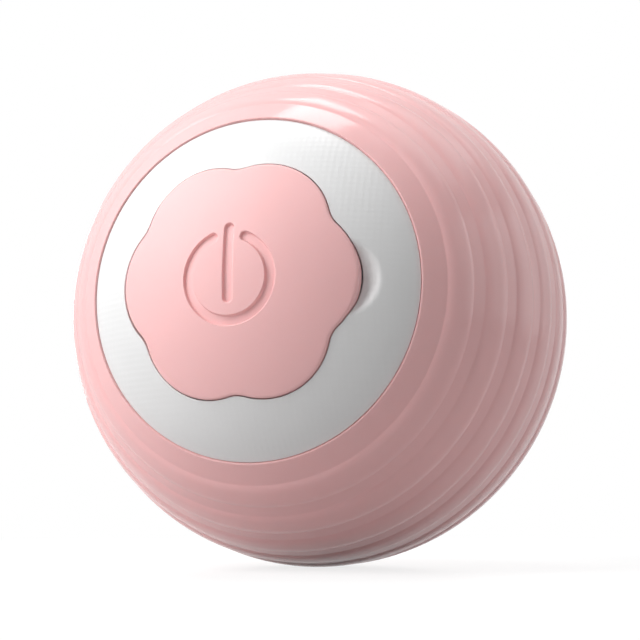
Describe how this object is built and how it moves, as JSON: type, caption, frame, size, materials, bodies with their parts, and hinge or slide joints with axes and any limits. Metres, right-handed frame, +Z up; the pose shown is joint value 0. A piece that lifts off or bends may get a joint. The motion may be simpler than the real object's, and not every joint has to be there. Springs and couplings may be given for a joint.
{
  "type": "self rolling cat ball",
  "caption": "Small motorised rolling cat ball with a ribbed silicone tread sleeve, a white shell and a soft flower power button that lifts off the charging port.",
  "frame": {"origin": "On the floor, straight under the ball's centre, where the tread's two middle ribs stand.", "axes": "+Y along the ball's axle from the flower face to the plain rear face, so the flower looks along -Y; +Z up; +X to the right of someone who looks at the flower."},
  "size_m": [0.0428, 0.0427, 0.0429],
  "materials": {
    "pink_silicone": "glossy pink silicone",
    "flower_silicone": "matt pink silicone",
    "white_shell": "finely textured white plastic",
    "black_resin": "moulded black plastic",
    "natural_nylon": "natural nylon",
    "plated_steel": "nickel-plated steel",
    "cast_weight": "plain steel",
    "brass": "turned brass",
    "solder_mask": "green solder mask",
    "pouch_foil": "laminated foil pouch",
    "grey_foam": "grey foam tape",
    "red_lead": "red insulation",
    "black_lead": "black insulation"
  },
  "bodies": {
    "housing": {"tread_sleeve": "pink_silicone", "front_shell": "white_shell", "rear_shell": "white_shell", "switch_body": "black_resin", "usb_port": "plated_steel", "usb_tongue": "black_resin", "circuit_board": "solder_mask", "board_screw_1": "plated_steel", "board_screw_2": "plated_steel", "control_chip": "black_resin", "shake_sensor": "plated_steel", "status_led": "natural_nylon", "battery_cell": "pouch_foil", "battery_pad": "grey_foam", "battery_lead_1": "black_lead", "battery_lead_2": "red_lead", "gear_frame": "black_resin", "frame_screw_1": "plated_steel", "frame_screw_2": "plated_steel", "frame_screw_3": "plated_steel", "gear_cover": "black_resin", "cover_screw_1": "plated_steel", "cover_screw_2": "plated_steel", "cover_screw_3": "plated_steel", "retaining_ring": "plated_steel", "first_axle": "plated_steel", "second_axle": "plated_steel", "motor_can": "plated_steel", "motor_end_cap": "natural_nylon", "motor_terminal_1": "brass", "motor_terminal_2": "brass", "motor_lead_1": "black_lead", "motor_lead_2": "red_lead"},
    "power_button": {"power_key": "black_resin", "switch_plunger": "natural_nylon", "tether_strap": "flower_silicone"},
    "flower_flap": {"flower_cover": "flower_silicone"},
    "swing_arm": {"output_gear": "natural_nylon", "swing_weight": "cast_weight", "weight_screw_1": "plated_steel", "weight_screw_2": "plated_steel"},
    "second_wheel": {"second_gear": "natural_nylon"},
    "first_wheel": {"first_gear": "natural_nylon"},
    "rotor": {"motor_shaft": "plated_steel", "motor_pinion": "brass"}
  },
  "joints": [
    {"name": "button_press", "type": "slide", "parent": "housing", "child": "power_button", "axis": [0, 1, 0], "range_m": [0, 0.0004], "stiffness_N_per_m": 1200},
    {"name": "cover_lift", "type": "hinge", "parent": "power_button", "child": "flower_flap", "pos_m": [-0.00936, -0.01925, 0.02145], "axis": [0, 0, -1], "range_deg": [0, 105], "stiffness_Nm_per_rad": 0.0004},
    {"name": "weight_spin", "type": "hinge", "parent": "housing", "child": "swing_arm", "pos_m": [0, 0, 0.02145], "axis": [0, 1, 0], "continuous": true},
    {"name": "second_gear_spin", "type": "hinge", "parent": "housing", "child": "second_wheel", "pos_m": [-0.00681, -0.00165, 0.02884], "axis": [0, 1, 0], "continuous": true},
    {"name": "first_gear_spin", "type": "hinge", "parent": "housing", "child": "first_wheel", "pos_m": [0, -0.00365, 0.02775], "axis": [0, 1, 0], "continuous": true},
    {"name": "rotor_spin", "type": "hinge", "parent": "housing", "child": "rotor", "pos_m": [0, -0.00315, 0.02145], "axis": [0, 1, 0], "continuous": true}
  ],
  "couplings": [
    {"joint": "second_gear_spin", "follows": "weight_spin", "ratio": -5.0909},
    {"joint": "first_gear_spin", "follows": "weight_spin", "ratio": 18.327},
    {"joint": "rotor_spin", "follows": "weight_spin", "ratio": -67.2}
  ]
}
